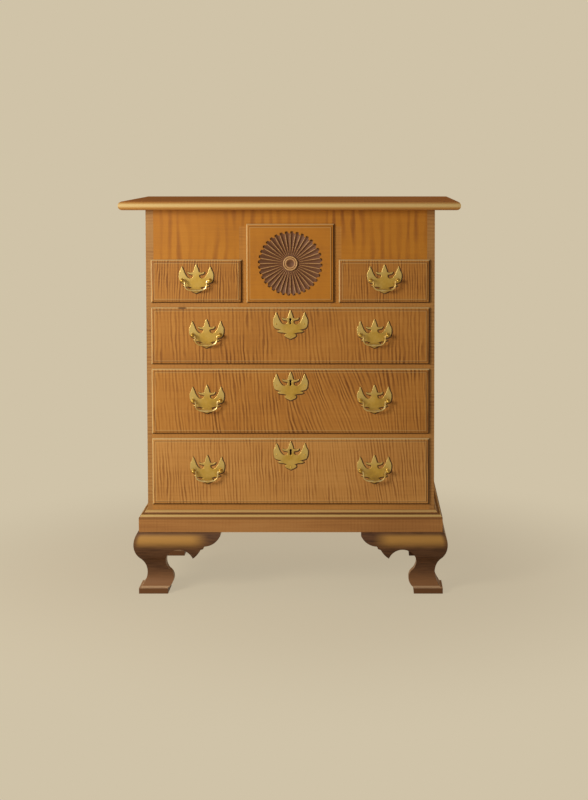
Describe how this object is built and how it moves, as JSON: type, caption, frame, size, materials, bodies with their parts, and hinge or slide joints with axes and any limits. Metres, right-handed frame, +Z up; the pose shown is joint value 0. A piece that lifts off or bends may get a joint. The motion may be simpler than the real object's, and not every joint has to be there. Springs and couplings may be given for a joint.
{
  "type": "lowboy chest of drawers",
  "caption": "Chest of drawers in curly maple with an overhanging top, lipped drawers, a carved fan, bail handles and cabriole bracket feet; drawers slide, bails swing, locks throw.",
  "frame": {"origin": "on the floor, under the middle of the chest's outer box", "axes": "+Z up, front faces -Y, +X to the right of someone who faces the front"},
  "size_m": [0.89, 0.51, 1.041],
  "materials": {
    "curly_maple": "rubbed oil and wax",
    "dark_maple": "dark stain and wax",
    "pine": "bare planed",
    "old_brass": "aged",
    "lock_iron": "dark"
  },
  "bodies": {
    "case": {"back_boards": "pine", "bottom_board": "pine", "drawer_kickers": "pine", "drawer_partitions": "pine", "drawer_posts": "curly_maple", "drawer_rails": "curly_maple", "drawer_runners": "pine", "foot_glue_blocks": "pine", "foot_pads": "dark_maple", "frieze_board": "curly_maple", "front_base_moulding": "curly_maple", "front_left_foot": "dark_maple", "front_right_foot": "dark_maple", "left_side": "curly_maple", "rear_feet": "dark_maple", "right_side": "curly_maple", "side_base_mouldings": "curly_maple", "top_board": "curly_maple"},
    "left_drawer": {"left_drawer_bottom": "pine", "left_drawer_box": "pine", "left_drawer_front": "curly_maple", "left_drawer_plate": "old_brass", "left_drawer_posts": "old_brass"},
    "left_drawer_bail": {"left_drawer_bail": "old_brass"},
    "right_drawer": {"right_drawer_bottom": "pine", "right_drawer_box": "pine", "right_drawer_front": "curly_maple", "right_drawer_plate": "old_brass", "right_drawer_posts": "old_brass"},
    "right_drawer_bail": {"right_drawer_bail": "old_brass"},
    "fan_drawer": {"fan_drawer_bottom": "pine", "fan_drawer_box": "pine", "fan_drawer_front": "curly_maple"},
    "upper_drawer": {"upper_drawer_bottom": "pine", "upper_drawer_box": "pine", "upper_drawer_front": "curly_maple", "upper_drawer_lock": "lock_iron", "upper_drawer_plates": "old_brass", "upper_drawer_posts": "old_brass"},
    "upper_drawer_left_bail": {"upper_drawer_left_bail": "old_brass"},
    "upper_drawer_right_bail": {"upper_drawer_right_bail": "old_brass"},
    "upper_drawer_lock_bolt": {"upper_drawer_lock_bolt": "lock_iron"},
    "middle_drawer": {"middle_drawer_bottom": "pine", "middle_drawer_box": "pine", "middle_drawer_front": "curly_maple", "middle_drawer_lock": "lock_iron", "middle_drawer_plates": "old_brass", "middle_drawer_posts": "old_brass"},
    "middle_drawer_left_bail": {"middle_drawer_left_bail": "old_brass"},
    "middle_drawer_right_bail": {"middle_drawer_right_bail": "old_brass"},
    "middle_drawer_lock_bolt": {"middle_drawer_lock_bolt": "lock_iron"},
    "lower_drawer": {"lower_drawer_bottom": "pine", "lower_drawer_box": "pine", "lower_drawer_front": "curly_maple", "lower_drawer_lock": "lock_iron", "lower_drawer_plates": "old_brass", "lower_drawer_posts": "old_brass"},
    "lower_drawer_left_bail": {"lower_drawer_left_bail": "old_brass"},
    "lower_drawer_right_bail": {"lower_drawer_right_bail": "old_brass"},
    "lower_drawer_lock_bolt": {"lower_drawer_lock_bolt": "lock_iron"}
  },
  "joints": [
    {"name": "left_drawer_slide", "type": "slide", "parent": "case", "child": "left_drawer", "axis": [0, -1, 0], "range_m": [0, 0.3]},
    {"name": "left_drawer_bail_swing", "type": "hinge", "parent": "left_drawer", "child": "left_drawer_bail", "pos_m": [-0.24725, -0.2266, 0.833], "axis": [-1, 0, 0], "range_deg": [-18, 190]},
    {"name": "right_drawer_slide", "type": "slide", "parent": "case", "child": "right_drawer", "axis": [0, -1, 0], "range_m": [0, 0.3]},
    {"name": "right_drawer_bail_swing", "type": "hinge", "parent": "right_drawer", "child": "right_drawer_bail", "pos_m": [0.24725, -0.2266, 0.833], "axis": [-1, 0, 0], "range_deg": [-18, 190]},
    {"name": "fan_drawer_slide", "type": "slide", "parent": "case", "child": "fan_drawer", "axis": [0, -1, 0], "range_m": [0, 0.3]},
    {"name": "upper_drawer_slide", "type": "slide", "parent": "case", "child": "upper_drawer", "axis": [0, -1, 0], "range_m": [0, 0.3]},
    {"name": "upper_drawer_left_bail_swing", "type": "hinge", "parent": "upper_drawer", "child": "upper_drawer_left_bail", "pos_m": [-0.221, -0.2266, 0.6885], "axis": [-1, 0, 0], "range_deg": [-18, 190]},
    {"name": "upper_drawer_right_bail_swing", "type": "hinge", "parent": "upper_drawer", "child": "upper_drawer_right_bail", "pos_m": [0.221, -0.2266, 0.6885], "axis": [-1, 0, 0], "range_deg": [-18, 190]},
    {"name": "upper_drawer_lock_bolt_slide", "type": "slide", "parent": "upper_drawer", "child": "upper_drawer_lock_bolt", "axis": [0, 0, 1], "range_m": [0, 0.008]},
    {"name": "middle_drawer_slide", "type": "slide", "parent": "case", "child": "middle_drawer", "axis": [0, -1, 0], "range_m": [0, 0.3]},
    {"name": "middle_drawer_left_bail_swing", "type": "hinge", "parent": "middle_drawer", "child": "middle_drawer_left_bail", "pos_m": [-0.221, -0.2266, 0.5145], "axis": [-1, 0, 0], "range_deg": [-18, 190]},
    {"name": "middle_drawer_right_bail_swing", "type": "hinge", "parent": "middle_drawer", "child": "middle_drawer_right_bail", "pos_m": [0.221, -0.2266, 0.5145], "axis": [-1, 0, 0], "range_deg": [-18, 190]},
    {"name": "middle_drawer_lock_bolt_slide", "type": "slide", "parent": "middle_drawer", "child": "middle_drawer_lock_bolt", "axis": [0, 0, 1], "range_m": [0, 0.008]},
    {"name": "lower_drawer_slide", "type": "slide", "parent": "case", "child": "lower_drawer", "axis": [0, -1, 0], "range_m": [0, 0.3]},
    {"name": "lower_drawer_left_bail_swing", "type": "hinge", "parent": "lower_drawer", "child": "lower_drawer_left_bail", "pos_m": [-0.221, -0.2266, 0.3275], "axis": [-1, 0, 0], "range_deg": [-18, 190]},
    {"name": "lower_drawer_right_bail_swing", "type": "hinge", "parent": "lower_drawer", "child": "lower_drawer_right_bail", "pos_m": [0.221, -0.2266, 0.3275], "axis": [-1, 0, 0], "range_deg": [-18, 190]},
    {"name": "lower_drawer_lock_bolt_slide", "type": "slide", "parent": "lower_drawer", "child": "lower_drawer_lock_bolt", "axis": [0, 0, 1], "range_m": [0, 0.008]}
  ]
}
